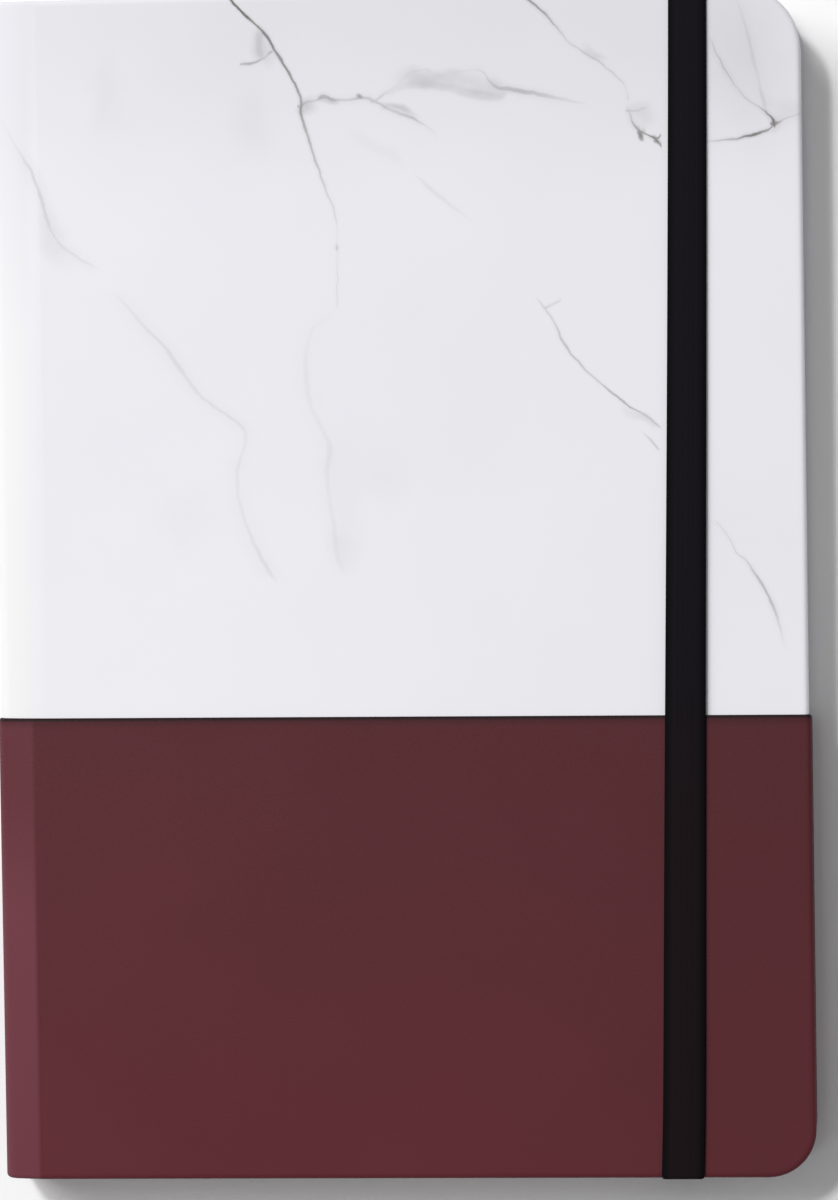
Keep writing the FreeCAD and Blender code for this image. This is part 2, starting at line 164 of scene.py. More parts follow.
class DiaryColours(bpy.types.PropertyGroup):
    """Colours of the diary's materials."""

    marble: colour("Marble", "Ground of the marble print", 244, 243, 248)
    # Dark end of the ground's clouds, and of its painted shade towards the fore-edge, the head and the
    # shoulder at the head.
    marble_clouds_and_shade: colour("Marble shade", "Darker parts of the ground", 226, 225, 230)
    # Painted shade on the shoulder and the spine, low down.
    marble_shoulder_shade: colour("Marble at spine", "Print on the shoulder and the spine", 240, 240, 238)
    vein: colour("Vein", "Core of the veins", 112, 106, 101)
    haze: colour("Haze", "Soft grey beside the veins", 150, 151, 154)
    burgundy: colour("Burgundy", "Lower covering", 87, 35, 41)
    # Painted highlight on the burgundy shoulders.
    burgundy_shoulder_highlight: colour("Burgundy shoulder", "Lower covering on the shoulders", 108, 54, 64)
    # The real cut edge, and the painted shade below the seam.
    raw_edge_and_seam_shade: colour("Raw edge", "Cut edge of the lower covering", 34, 12, 17)
    elastic: colour("Elastic", "Elastic band", 19, 16, 22)
    # Painted reflection of the burgundy on the band's lower part.
    elastic_burgundy_reflection: colour("Elastic, lower part", "Elastic band over the burgundy sheet", 24, 15, 18)
    paper: colour("Paper", "Leaves and endpapers", 243, 239, 228)
    board: colour("Board", "Grey board in the covers", 150, 145, 136)
    cloth: colour("Lining", "Cloth on the back of the leaves", 226, 222, 210)
    thread: colour("Thread", "Coloured thread of the headbands", 104, 38, 48)
    floor: colour("Floor", "Table under the diary", 255, 255, 255)


class Signal:
    """A socket of a material's nodes. Arithmetic on it adds Math nodes."""

    def __init__(self, tree, socket=None):
        self.tree, self.socket = tree, socket

    def node(self, kind, settings=None, inputs=None, output=0):
        """Adds a node, sets it up, fills its sockets with values or links, and gives one output."""
        made = self.tree.nodes.new(kind)
        for key, value in (settings or {}).items():
            if key == "curve":
                line = made.mapping.curves[0]
                line.points[0].location, line.points[-1].location = value[0], value[-1]
                for point in value[1:-1]:
                    line.points.new(*point)
                made.mapping.update()
            else:
                setattr(made, key, value)
        for key, value in (inputs or {}).items():
            if isinstance(value, Signal):
                self.tree.links.new(value.socket, made.inputs[key])
            else:
                made.inputs[key].default_value = value
        return Signal(self.tree, made.outputs[output])

    def maths(self, operation, *others):
        """A Math node that takes this signal first."""
        values = dict(enumerate((self, *others)))
        return self.node("ShaderNodeMath", {"operation": operation}, values)

    __add__ = __radd__ = partialmethod(maths, "ADD")
    __mul__ = __rmul__ = partialmethod(maths, "MULTIPLY")
    __sub__ = partialmethod(maths, "SUBTRACT")
    __truediv__ = partialmethod(maths, "DIVIDE")
    __abs__ = partialmethod(maths, "ABSOLUTE")
    most = partialmethod(maths, "MAXIMUM")

    def __rsub__(self, other):
        return self.node("ShaderNodeMath", {"operation": "SUBTRACT"}, {0: other, 1: self})

    def clipped(self):
        return self.most(0.0).maths("MINIMUM", 1.0)

    def wave(self, length):
        """From 0 to 1 and back each length."""
        return (self * (2 * math.pi / length)).maths("SINE") * 0.5 + 0.5

    def rising(self, low, high, smooth=True):
        """0 up to low, 1 from high on."""
        way = {"interpolation_type": "SMOOTHSTEP" if smooth else "LINEAR", "clamp": True}
        return self.node("ShaderNodeMapRange", way, {0: self, 1: low, 2: high, 3: 0.0, 4: 1.0})

    def falling(self, low, high, smooth=True):
        """1 up to low, 0 from high on."""
        return 1 - self.rising(low, high, smooth)

    def curved(self, places, values):
        """A smooth curve through given points, each from 0 to 1 both ways."""
        points = list(zip(places, values))
        return self.node("ShaderNodeFloatCurve", {"curve": points}, {0: 1.0, 1: self})

    def vector_maths(self, operation, *others, output=0):
        """The same with a Vector Math node."""
        values = dict(enumerate((self, *others)))
        return self.node("ShaderNodeVectorMath", {"operation": operation}, values, output)

    def wandering(self, length, far):
        """A place moved a little each way by noise, so that lines drawn on it waver."""
        stray = self.node("ShaderNodeTexNoise", inputs={0: self, 2: 1 / length, 3: 2.0}, output=1)
        shift = stray.vector_maths("MULTIPLY_ADD", (far * 2,) * 3, (-far,) * 3)
        return self.vector_maths("ADD", shift)

    def between(self, first, second):
        """Vector first where self is 0 and second where it is 1."""
        places = {0: self, 4: first, 5: second}
        return self.node("ShaderNodeMix", {"data_type": "VECTOR"}, places, output=1)

    def part(self, axis):
        """One coordinate of a vector: 0, 1 or 2."""
        return self.node("ShaderNodeSeparateXYZ", inputs={0: self}, output=axis)

    def moved(self, move=(0, 0, 0), turn=(0, 0, 0), scale=(1, 1, 1)):
        """A vector placed by a Mapping node."""
        return self.node("ShaderNodeMapping", inputs={0: self, 1: move, 2: turn, 3: scale})

    def noise(self, length, detail=2.0, rough=0.5):
        """Cloudy values about 0.5, with features of that length."""
        return self.node("ShaderNodeTexNoise", inputs={0: self, 2: 1 / length, 3: detail, 4: rough})

    def cells(self, length, feature="F1"):
        """Distance in a pattern of cells of that length."""
        return self.node("ShaderNodeTexVoronoi", {"feature": feature}, {0: self, 2: 1 / length})

    def toned(self, first, second):
        """Colour first where self is 0 and second where it is 1."""
        ends = [end if isinstance(end, Signal) else (*end, 1.0) for end in (first, second)]
        shades = {0: self, 6: ends[0], 7: ends[1]}
        return self.node("ShaderNodeMix", {"data_type": "RGBA"}, shades, output=2)


def new_material(name, roughness, specular=0.5):
    """A material, its shader with what is the same all over, and its nodes."""
    material = bpy.data.materials.new(name)
    material.use_nodes = True
    shader = material.node_tree.nodes["Principled BSDF"]
    shader.inputs["Roughness"].default_value = roughness
    shader.inputs["Specular IOR Level"].default_value = specular
    return material, shader, Signal(material.node_tree)


def feed(shader, signals):
    """Links each named socket of the shader."""
    for key, signal in signals.items():
        signal.tree.links.new(signal.socket, shader.inputs[key])


def bump(height, depth):
    """A Bump node for a height from 0 to 1 that stands for that many millimetres."""
    inputs = {"Strength": 1.0, "Distance": depth * MM, "Height": height}
    return height.node("ShaderNodeBump", inputs=inputs)


def stored(net, name):
    """A vector kept on the piece's own points, in millimetres."""
    return net.node("ShaderNodeAttribute", {"attribute_name": name}, output=1)


def places(net):
    """Object coordinates in millimetres."""
    at = net.node("ShaderNodeTexCoord", output=3)
    return at.moved(scale=(1 / MM, 1 / MM, 1 / MM))


# Veins of the marble print on the front cover, in millimetres: the axis that each runs along, its
# width, its haze's reach, and its points: each one's place along that axis, its place across it
# and how dark it is.
VEINS = [
    ("y", 0.44, 0.9, (107.2, -29.8, 92), (103.8, -27.9, 92), (102.3, -26.5, 98), (100.8, -24.9, 84),
     (99.5, -23.5, 76), (98, -22.2, 80), (96.5, -21.2, 80), (94.8, -20.2, 66), (93, -19.2, 72),
     (90.3, -17.7, 66), (88.2, -16.7, 62), (86.3, -16.1, 52), (84.7, -16.1, 60), (83.3, -15.9, 56),
     (79.9, -14.9, 44), (75.3, -13.5, 34), (71, -12.1, 22), (68.1, -10.9, 18), (65.6, -10.2, 14),
     (63.1, -10, 5), (61, -10.1, 6), (60.2, -10.1, 26), (59.4, -10.1, 7), (56.3, -10.1, 8),
     (51.1, -10.3, 9), (48.7, -10.4, 0)),
    ("x", 0.32, 0.8, (-27.2, 92.9, 0), (-26.7, 92.9, 28), (-25, 93, 42), (-23.6, 93.4, 36),
     (-22.4, 94.1, 20), (-21.1, 95, 34)),
    ("y", 0.9, 2, (100.4, -23.2, 0), (98.6, -23.2, 14), (96.2, -23.4, 12), (94, -23, 10),
     (93.3, -22.4, 0)),
    ("x", 0.5, 1.4, (-16.3, 85.3, 38), (-15.7, 85.7, 30), (-15, 86.1, 20), (-13.5, 86.4, 20),
     (-12.1, 86.9, 40), (-10.6, 86.5, 34), (-8.6, 86.3, 20), (-6.9, 86.4, 22), (-5.7, 86.6, 30),
     (-4.6, 86.6, 26), (-2.9, 86, 26), (-0.9, 84.7, 22), (1.5, 83.7, 26), (3.8, 82.8, 30),
     (5, 82.1, 18), (6.3, 81.2, 9), (7.6, 80, 6), (8.4, 78.8, 0)),
    ("x", 0.6, 1.6, (-3.3, 86, 20), (-2, 86.7, 18), (-0.8, 87.4, 12), (0.5, 88.3, 9), (1.6, 89.3, 6),
     (2.8, 90.4, 5), (3.9, 91, 6), (6.3, 91.2, 5), (8.2, 90.3, 4), (9.8, 90.6, 2), (11.6, 90.8, 4),
     (15.1, 91, 8), (17.1, 89.5, 16), (18.9, 87.9, 26), (20.6, 87.6, 34), (22.7, 87.2, 36),
     (25, 86.8, 30), (27.4, 86.3, 24), (30.1, 85.6, 14), (32.8, 85, 8), (35.7, 84.4, 0)),
    ("x", 1.2, 2.2, (-0.8, 87.4, 6), (0.8, 88.1, 8), (2.7, 88.6, 9), (6.3, 88.6, 9), (9.8, 88.1, 12),
     (13.3, 87.2, 15), (16.8, 86.5, 15), (19.2, 86.4, 13), (21, 87.4, 8)),
    ("y", 0.4, 1.2, (106.1, 21.8, 62), (103.2, 24.4, 62), (101.7, 26.1, 60), (100.3, 27.6, 48),
     (98.8, 28.8, 38), (97.6, 29.9, 27), (96.3, 30.9, 18), (95, 32.2, 20), (94.2, 33.4, 24),
     (93.3, 34.6, 24), (91.9, 36.9, 28), (90.9, 38, 22), (90, 39.1, 22), (88.8, 40.3, 18),
     (87.5, 41.2, 8), (85.5, 41.7, 10), (84.7, 41.8, 0)),
    ("x", 0.36, 1.5, (41.5, 83.5, 20), (42.9, 83.3, 14), (44.3, 83.7, 13), (46, 84.1, 0)),
    ("y", 0.45, 1.2, (83.7, 41.7, 16), (82.3, 42.2, 24), (81, 42.7, 42), (79.9, 43.6, 60),
     (79.3, 44.9, 60), (78.5, 46.2, 78), (77.7, 46.9, 70), (77.3, 47.1, 0)),
    ("y", 0.6, 0.9, (80.3, 43.3, 30), (79, 43.9, 66), (78.2, 44.1, 40), (77.8, 44.2, 0)),
    ("x", 0.3, 0.8, (45.8, 78.7, 0), (46.2, 78.8, 40), (46.7, 78.4, 60), (47.2, 78.8, 56),
     (47.5, 79, 0)),
    ("x", 0.35, 0.8, (46, 78, 0), (46.4, 77.9, 60), (47.3, 77.4, 62), (47.8, 76.9, 0)),
    ("y", 0.36, 1.3, (95.8, 56.3, 8), (94.9, 56.6, 16), (93.1, 57.3, 22), (90.9, 58.4, 28),
     (88.6, 59.7, 24), (87, 60.7, 18), (85.2, 62.3, 22), (84.1, 63.8, 24), (83.4, 65.1, 38),
     (82.4, 66.2, 60), (81.4, 67, 84), (80.6, 67.2, 88), (80.3, 67.2, 70)),
    ("x", 0.4, 0.9, (55.5, 77.7, 8), (57.2, 77.8, 22), (58.6, 78, 32), (60.4, 78.1, 42), (62, 78.4, 66),
     (63.8, 78.8, 84), (64.7, 79.1, 76), (66.1, 79.5, 58), (66.9, 80.2, 62), (67.3, 80.9, 60)),
    ("y", 0.55, 2.2, (104, 60.4, 0), (101.5, 61.3, 5), (97.5, 62.5, 10), (92.7, 63.6, 12),
     (87.9, 64.7, 8), (85.4, 65.3, 14), (83.2, 65.8, 10), (81.8, 66.2, 0)),
    ("x", 0.5, 2.2, (67, 80.6, 70), (67.9, 80.8, 50), (69.2, 81.4, 16), (70.4, 81.9, 13),
     (72.5, 82.4, 8)),
    ("y", 0.4, 1, (51.5, 24.8, 0), (49.8, 25.9, 15), (48.9, 26.6, 20), (46, 28.4, 22), (42.8, 29.8, 33),
     (39.2, 32.6, 30), (36.3, 35.4, 24), (33.9, 38.2, 42), (31.2, 41.5, 42), (29.9, 43.9, 28),
     (27.9, 46.2, 24), (27, 46.9, 0)),
    ("x", 0.4, 0.8, (26.5, 49.1, 18), (27.5, 49.5, 13), (29.2, 50.4, 11), (29.8, 50.7, 0)),
    ("y", 0.4, 0.9, (27.4, 43.3, 0), (25.5, 44.9, 22), (24, 46.1, 18), (23.4, 46.6, 0)),
    ("y", 0.4, 1.2, (11.5, 55.9, 0), (10.7, 56.4, 10), (8.4, 58.2, 12), (6.1, 59.4, 15),
     (3.6, 61.7, 20), (0.7, 63.6, 36), (-2.8, 65.5, 36), (-7.2, 67, 18), (-12.6, 68.2, 0)),
    ("y", 0.5, 2.6, (87.4, -73.6, 2), (83.7, -69.9, 3), (80.4, -67.8, 5), (78.1, -66.4, 9),
     (75, -64.6, 17), (72.1, -63.4, 19), (69.4, -62.6, 19), (66.5, -61.8, 16), (64.3, -61.1, 11),
     (62, -59.9, 4)),
    ("x", 0.45, 2, (-61.7, 65, 6), (-59.9, 62.2, 10), (-58.1, 60.7, 10), (-55.9, 59, 11),
     (-54.2, 58, 8), (-52, 57.1, 0)),
    ("y", 0.7, 3.6, (53.7, -50.6, 0), (52.5, -49.4, 4), (49.5, -46.7, 8), (46.3, -44.1, 10),
     (43.6, -41.4, 12), (40.4, -39.1, 13), (37.4, -37.1, 11), (35, -35.3, 11), (32.4, -32.2, 10),
     (30.6, -29.6, 11), (29.2, -27.8, 10), (27.4, -26.9, 7), (24.8, -27.3, 6), (22.1, -28.2, 8),
     (19.1, -28.5, 7), (15.1, -28.1, 7), (11.9, -27.2, 8), (8.8, -25.9, 9), (5.2, -24.2, 12),
     (3, -23, 11), (0.5, -21.5, 0)),
    ("y", 0.75, 3.8, (49.9, -10.8, 0), (46.7, -14.2, 3), (43.2, -15.6, 4), (39.6, -16, 6),
     (35.3, -15.7, 6), (30.8, -14.5, 5), (27.2, -12.7, 6), (24.5, -11.9, 8), (21, -12.4, 7),
     (18, -12.4, 6), (14.4, -11.9, 5), (10.4, -11.3, 6), (6.8, -11, 6), (4, -10.4, 5), (1.3, -9.6, 0)),
    ("x", 1.6, 3, (-9, 80.8, 0), (-5, 78.9, 3), (-2.2, 77.4, 3), (0.5, 76.3, 3), (3, 73.6, 0)),
    ("x", 0.6, 1.6, (3, 73.2, 0), (6, 70.9, 8), (8.3, 68.9, 8), (11.8, 66.2, 5), (15.3, 64.1, 0)),
]

# Soft grey patches of the print: the middle of each, its reach both ways, its turn in degrees, and
# how dark it is.
PATCHES = [
    (61.1, 92.2, 7, 16, 12, 14), (6.2, 89.7, 5, 1.7, -6, 34), (14, 88.8, 4.6, 1.8, -10, 20),
    (18.4, 88.8, 2.2, 1.8, 0, 16), (35.4, 93.2, 2, 0.9, -38, 24), (-60.6, 62.6, 3, 5, 25, 13),
    (-22.9, 95.9, 2, 3.4, 20, 26), (43.2, 29.2, 3.4, 1, -46, 20), (-14.9, 85.3, 1.7, 1.4, 0, 36),
    (-11.2, 86.3, 1.5, 0.8, -8, 30), (1.4, 83.9, 3, 0.8, -20, 40), (-5.2, 87.6, 0.6, 0.5, 0, 75),
    (43.8, 79.5, 1, 1.1, 0, 44), (43.8, 82.4, 2.4, 2, 0, 16), (69.4, 83.2, 3.4, 2, 20, 12),
    (-50.8, 87.7, 3.2, 8, 0, 7), (-24.8, 82.7, 4, 7, 0, 6), (-9.2, 15.9, 3, 12, 0, 5),
    (-37.8, 12.9, 5, 6, -20, 4), (-2.7, 19.8, 5, 6, 0, 5), (-9.7, 7, 3, 3.6, 0, 6),
]


THIN_END = 0.45  # width of a vein at its faintest, as a share of its width at its darkest
VEIN_CORE = 0.25  # share of a vein's width that is as dark as its middle
VEIN_ROOM = 0.01  # spare room of a vein's curve at each side of its points, in millimetres
HAZE_SHARE = 0.42  # darkness of the haze beside a vein, as a share of the vein's
PATCH_FADE = 1.5  # where a patch has faded out, as a share of its reach


def vein_marks(at, veins):
    """Sharp lines and the soft haze beside them, each from 0 to 1."""
    along = {"x": at.part(0), "y": at.part(1)}
    lines = hazes = None
    for axis, width, reach, *points in veins:
        points = sorted(points)
        first, last = points[0], points[-1]
        points = [(first[0] - width, first[1], 0), *points, (last[0] + width, last[1], 0)]
        starts, across, darkness = zip(*points)
        low, high = starts[0], starts[-1]
        least, most = min(across) - VEIN_ROOM, max(across) + VEIN_ROOM
        place = along[axis].rising(low, high, smooth=False)
        shares = [(start - low) / (high - low) for start in starts]
        middle = place.curved(shares, [(c - least) / (most - least) for c in across])
        strength = place.curved(shares, [dark / 100 for dark in darkness])
        off = abs(along["x" if axis == "y" else "y"] - (middle * (most - least) + least))
        widening = strength * ((1 - THIN_END) * 100 / max(darkness)) + THIN_END
        line = (off / widening).falling(width * VEIN_CORE, width) * strength
        haze = off.falling(0.0, reach) * strength
        lines = line if lines is None else lines.most(line)
        hazes = haze if hazes is None else hazes.most(haze)
    return lines, hazes


def patch_marks(at, patches):
    """Soft oval patches, each from 0 in the open to its own darkness in the middle."""
    total = None
    for x, y, reach_x, reach_y, turn, dark in patches:
        near = at.moved((-x, -y, 0), scale=(1, 1, 0)).moved(turn=(0, 0, math.radians(-turn)))
        near = near.moved(scale=(1 / reach_x, 1 / reach_y, 1))
        away = near.vector_maths("LENGTH", output=1)
        patch = away.falling(0.0, PATCH_FADE) * (dark / 100)
        total = patch if total is None else total + patch
    return total


def marble_print(at):
    """The marble's veins, and its hazes and patches: the back shows them the other way up."""
    on_front = at.part(2).rising(MIDDLE - NEAR, MIDDLE + NEAR)
    other_way_up = at.moved((0, MARBLE_HIGH.y + BURGUNDY_HIGH.y, 0), scale=(1, -1, 1))
    print_at = on_front.between(other_way_up, at)
    lines, hazes = vein_marks(print_at.wandering(length=2.2, far=0.35), VEINS)
    patches = patch_marks(print_at.wandering(length=6.0, far=2.5), PATCHES)
    return lines, (hazes * HAZE_SHARE + patches).clipped()


def marble_covering(colours):
    """Smooth laminated print: a pale ground with clouds, haze and thin grey-brown veins."""
    material, shader, net = new_material("Marble print", roughness=0.6, specular=0.2)
    at = stored(net, "rest")
    x, y = at.part(0), at.part(1)
    lines, grey = marble_print(at)
    clouds = at.noise(length=34.0, detail=3.0) - 0.5
    # Painted light and shade in the ground: darker towards the fore-edge and the head, lighter at the head
    # by the spine. Only the clouds are the print's own tone.
    painted_head_shade, painted_light_spine_corner = y.rising(62, 106), x.falling(-66, -10) * y.rising(50, 100)
    middle, painted_shade_foreward, painted_shade_headward = 0.30, 0.0016, 0.0018  # shade at the origin, and its rise a millimetre
    shade = middle + x * painted_shade_foreward + y * painted_shade_headward
    shade = shade + painted_head_shade * 0.5 - painted_light_spine_corner * 0.22 + clouds * 0.35
    ground = shade.clipped().toned(colours.marble, colours.marble_clouds_and_shade)
    widening, strength = 1.7, 0.68  # of the painted shade by the spine: at the head in millimetres, and all over
    # Painted shade on the shoulder by the spine, growing towards the head.
    headwards = y.rising(30, 92)
    shoulder_shade_reach = (x - headwards * widening).falling(CREASE - 1.5, CREASE + 1.5)
    shoulder_shade_tone = headwards.toned(colours.marble_shoulder_shade, colours.marble_clouds_and_shade)
    ground = (shoulder_shade_reach * strength).toned(ground, shoulder_shade_tone)
    veined = lines.toned(grey.toned(ground, colours.haze), colours.vein)
    feed(shader, {"Base Color": veined, "Normal": bump(at.noise(length=0.5), depth=0.003)})
    return material


def burgundy_covering(colours):
    """Fine-grained matt leather-like sheet: a dark cut edge, and painted shade below the seam."""
    material, shader, net = new_material("Burgundy leatherette", roughness=0.6, specular=0.18)
    at = stored(net, "rest")
    x, y = at.part(0), at.part(1)
    middle_y = -64  # where the painted light is neither raised nor lowered
    painted_light_spineward, painted_light_tailward = 0.0035, 0.007  # rise of the painted light a millimetre
    clouds = at.noise(length=30.0, detail=3.0) - 0.5
    # Painted light: the ground is lighter towards the spine and the tail. The clouds are its own tone.
    shade = clouds * 0.5 + 0.5 - x * painted_light_spineward - (y - middle_y) * painted_light_tailward
    ground = shade.clipped().toned(dimmed(colours.burgundy, 0.8), dimmed(colours.burgundy, 1.2))
    # Painted highlight on the shoulders, fading towards the head.
    shoulder = x.falling(CREASE - 0.5, CREASE + 0.5) * (1 - y.rising(-60, -34) * 0.6)
    ground = shoulder.toned(ground, colours.burgundy_shoulder_highlight)
    on_back = at.part(2).falling(MIDDLE - NEAR, MIDDLE + NEAR)
    from_seam = BURGUNDY_HIGH.y - seam_drop(x, on_back) - y
    # Painted shade for about 2 mm below the seam, in the raw edge's colour. The cut is the real cut edge.
    shadowed, cut = from_seam.falling(0.2, 2.2), from_seam.falling(0.35, 0.75)
    ground = cut.toned((shadowed * 0.42).toned(ground, colours.raw_edge_and_seam_shade), colours.raw_edge_and_seam_shade)
    grain = at.cells(length=0.42, feature="SMOOTH_F1")
    relief = grain * 0.7 + at.noise(length=0.16) * 0.3
    rough = grain * 0.12 + 0.56
    feed(shader, {"Base Color": ground, "Roughness": rough, "Normal": bump(relief, depth=0.02)})
    return material


def elastic_weave(colours, rib, weft):
    """Black woven elastic: ribs along it and a fine weft across, with painted shade at its edges."""
    material, shader, net = new_material("Black elastic", roughness=0.75, specular=0.08)
    at, place = stored(net, "weave"), stored(net, "rest")
    relief = at.part(0).wave(rib) * 0.7 + at.part(1).wave(weft) * 0.3
    # Painted reflection: a warm burgundy tint on the band where it lies over the burgundy sheet.
    burgundy_reflection_reach = place.part(1).falling(BURGUNDY_HIGH.y - 20, BURGUNDY_HIGH.y + 10)
    ground = burgundy_reflection_reach.toned(colours.elastic, colours.elastic_burgundy_reflection)
    ground = (relief * 0.25).toned(ground, dimmed(colours.elastic, 0.5))
    # Painted shade: darker towards the band's edges.
    ground = abs(at.part(0)).rising(2.0, 3.3).toned(ground, dimmed(colours.elastic, 0.3))
    feed(shader, {"Base Color": ground, "Normal": bump(relief, depth=0.015)})
    return material


def fibrous(name, shade, dark=0.97, fibre=0.6, relief=0.01, roughness=0.85, bends=False):
    """Pressed fibres: paper, or grey board where they are longer and darker, flat or bending."""
    material, shader, net = new_material(name, roughness)
    at = stored(net, "rest") if bends else places(net)
    fibres = at.noise(fibre, detail=4.0, rough=0.7)
    ground = fibres.rising(0.3, 0.7).toned(dimmed(shade, dark), shade)
    feed(shader, {"Base Color": ground, "Normal": bump(fibres, depth=relief)})
    return material


def leaf_edges(colours):
    """The cut edges of the leaves: thin lines that run round the block."""
    material, shader, net = new_material("Leaves", roughness=0.85)
    at = places(net)
    height = at.part(2) + at.noise(length=25.0) * 0.15
    stacked = net.node("ShaderNodeCombineXYZ", inputs={2: height})
    leaves = stacked.noise(length=0.11, detail=3.0, rough=0.65)
    streaks = at.moved(scale=(0.02, 0.02, 1)).noise(length=0.3)
    lines = leaves * 0.6 + streaks * 0.4
    ground = lines.rising(0.35, 0.65).toned(dimmed(colours.paper, 0.8), colours.paper)
    feed(shader, {"Base Color": ground, "Normal": bump(lines, depth=0.03)})
    return material


def lining_cloth(colours):
    """Open plain weave, glued."""
    material, shader, net = new_material("Lining cloth", roughness=0.9)
    at, spacing = places(net), 0.7  # of the cloth's threads, in millimetres
    weave = at.part(1).wave(spacing) * at.part(2).wave(spacing)
    ground = weave.toned(dimmed(colours.cloth, 0.75), colours.cloth)
    feed(shader, {"Base Color": ground, "Normal": bump(weave, depth=0.06)})
    return material


def headband_thread(colours):
    """Silky thread in two colours, wound round a cord."""
    material, shader, net = new_material("Headband thread", roughness=0.45)
    at = places(net)
    spacing, repeat, slant = 0.55, 2.2, 0.3  # of the turns, of the two colours, and the turns' lean
    turns = (at.part(2) + at.part(0) * slant).wave(spacing)
    stripe = at.part(2).wave(repeat).rising(0.45, 0.55)
    ground = stripe.toned(colours.paper, colours.thread)
    ground = turns.rising(0.0, 0.5).toned(dimmed(colours.thread, 0.4), ground)
    feed(shader, {"Base Color": ground, "Normal": bump(turns, depth=0.08)})
    return material


def bevel(bm, geom, radius, segments, affect="EDGES"):
    """Rounds edges off, or the corners of a flat outline."""
    bmesh.ops.bevel(
        bm,
        geom=geom,
        offset=radius,
        affect=affect,
        segments=segments,
        profile=0.5,
        material=-1,
    )


def slice_at(bm, axis, place, faces=None):
    """Cuts the mesh, or only some of its faces, by a plane across an axis."""
    faces = list(bm.faces) if faces is None else faces
    parts = dict.fromkeys(part for face in faces for part in (face, *face.edges, *face.verts))
    point, normal = Vector(), Vector()
    point[axis], normal[axis] = place, 1
    bmesh.ops.bisect_plane(bm, geom=list(parts), dist=NEAR / 10, plane_co=point, plane_no=normal)


def all_at(item, axis, place):
    """Whether all of a face's or an edge's points are at one place on an axis."""
    return all(abs(vert.co[axis] - place) < NEAR for vert in item.verts)


def push_out(bm, faces, move):
    """Extrudes faces by a move and gives all that it made."""
    made = bmesh.ops.extrude_face_region(bm, geom=faces)["geom"]
    verts = [item for item in made if isinstance(item, bmesh.types.BMVert)]
    bmesh.ops.translate(bm, verts=verts, vec=move)
    return made


def add_object(name, data):
    """A new object in the scene."""
    made = bpy.data.objects.new(name, data)
    bpy.context.scene.collection.objects.link(made)
    return made


def add_mesh(bm, name, material):
    """A new object from a bmesh, with a material."""
    mesh = bpy.data.meshes.new(name)
    bm.to_mesh(mesh)
    bm.free()
    mesh.materials.append(material)
    return add_object(name, mesh)


def make_piece(bm, name, material, thick=0):
    """Turns a bmesh in millimetres into a piece in metres that keeps its rest places. A sheet grows
    inwards from its outer face by its thickness."""
    piece = add_mesh(bm, name, material)
    mesh = piece.data
    if thick:
        wall = piece.modifiers.new("Thickness", "SOLIDIFY")
        wall.thickness, wall.offset, wall.use_even_offset = thick, -1, True
        graph = bpy.context.evaluated_depsgraph_get()
        mesh = bpy.data.meshes.new_from_object(piece.evaluated_get(graph))
        piece.modifiers.clear()
        piece.data = mesh
    rest = mesh.attributes.new("rest", "FLOAT_VECTOR", "POINT")
    for vert, kept in zip(mesh.vertices, rest.data):
        kept.vector = vert.co
    mesh.transform(Matrix.Scale(MM, 4))
    mesh.shade_smooth()
    mesh.set_sharp_from_angle(angle=math.radians(SMOOTH_ANGLE))
    return piece


